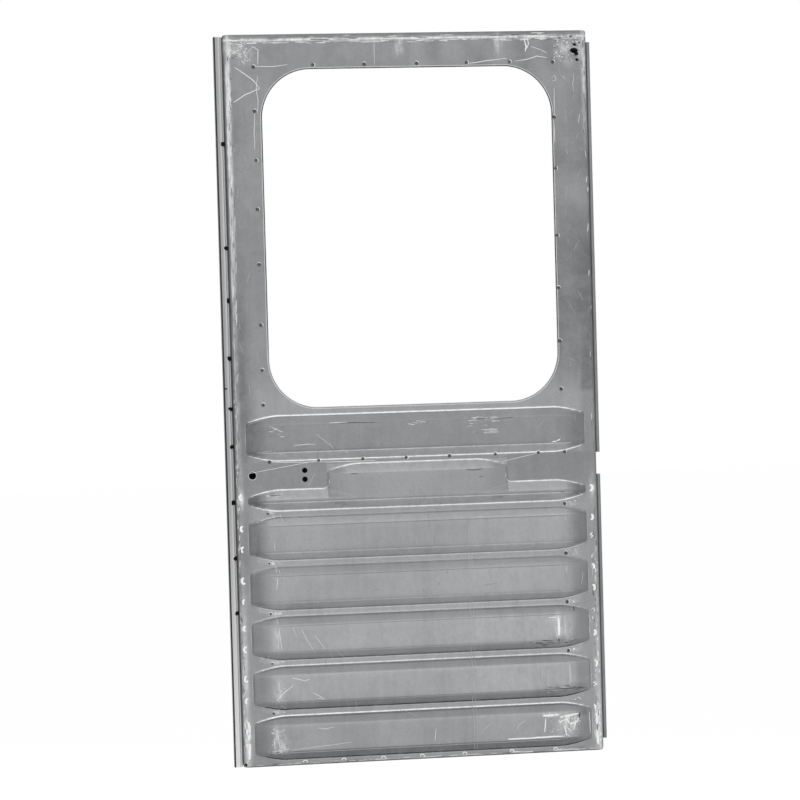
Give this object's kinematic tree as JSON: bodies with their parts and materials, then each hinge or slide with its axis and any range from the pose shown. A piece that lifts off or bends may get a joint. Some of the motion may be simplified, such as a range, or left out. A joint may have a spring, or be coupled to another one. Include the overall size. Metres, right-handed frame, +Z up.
{
  "type": "van rear door",
  "caption": "Pressed steel rear door of a small van: large window opening with rounded corners, raised horizontal ribs below it, lock holes and rolled hinge hooks.",
  "frame": {"origin": "on the hinge axis, at mid length of the lower hinge hook", "axes": "+X out of the door past its hinge edge (right, seen from outside), -Y out of the outside face, +Z up"},
  "size_m": [0.6247, 0.036, 1.2],
  "materials": {
    "skin_steel": "bare rolled sheet, worn and scratched",
    "frame_steel": "bare rolled sheet",
    "strip_steel": "bare rolled sheet, light",
    "hinge_steel": "bare rolled sheet, dull"
  },
  "bodies": {
    "root": {"outer_skin": "skin_steel", "lock_stile": "frame_steel", "hinge_stile": "frame_steel", "top_rail": "frame_steel", "waist_rail": "frame_steel", "bottom_rail": "frame_steel", "window_corner_top_left": "frame_steel", "window_corner_top_right": "frame_steel", "window_corner_bottom_left": "frame_steel", "window_corner_bottom_right": "frame_steel", "lock_plate": "frame_steel", "closing_strip": "strip_steel", "hinge_hook_upper": "hinge_steel", "hinge_hook_lower": "hinge_steel"}
  },
  "joints": []
}
